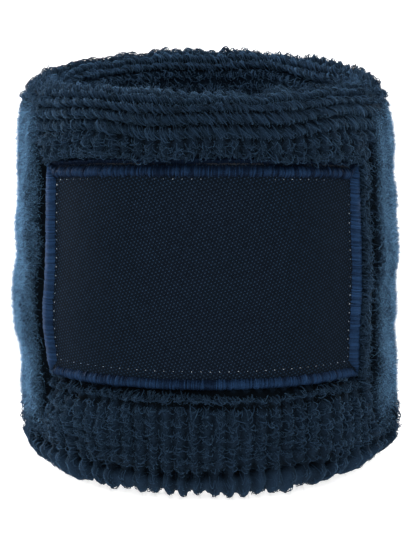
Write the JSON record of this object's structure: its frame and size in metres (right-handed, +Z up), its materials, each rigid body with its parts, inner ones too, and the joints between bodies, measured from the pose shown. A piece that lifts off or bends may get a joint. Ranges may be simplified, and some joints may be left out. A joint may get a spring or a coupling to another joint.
{
  "type": "sweat wristband",
  "caption": "Oval terry-knit sweat wristband, folded double at a soft rolled rim, with a blank stitched patch sewn to the front.",
  "frame": {"origin": "centre of the flat hem that the band stands on", "axes": "+Z up along the band from hem to rim, -Y towards the patch, +X to the right of the patch as seen from the front"},
  "size_m": [0.058, 0.048, 0.06],
  "materials": {
    "terry_pile": "navy cotton terry loops, matt with a soft bright edge",
    "ground_knit": "navy plain knit, hidden between the loops",
    "elastic_yarn": "covered elastic yarn, matt",
    "linking_thread": "navy cotton linking thread",
    "patch_satin": "navy polyester satin weave, slight sheen",
    "patch_backing": "stiff non-woven, hidden",
    "border_thread": "navy rayon embroidery thread, satin sheen",
    "seam_thread": "fine clear monofilament, glossy"
  },
  "bodies": {
    "root": {"pile_outer": "terry_pile", "pile_inner": "terry_pile", "ground_knit_outer": "ground_knit", "ground_knit_inner": "ground_knit", "elastic_yarns_outer": "elastic_yarn", "elastic_yarns_inner": "elastic_yarn", "hem_linking_thread": "linking_thread", "patch_face": "patch_satin", "patch_backing": "patch_backing", "patch_border_thread": "border_thread", "patch_seam_needle_thread": "seam_thread", "patch_seam_bobbin_thread": "seam_thread"}
  },
  "joints": []
}
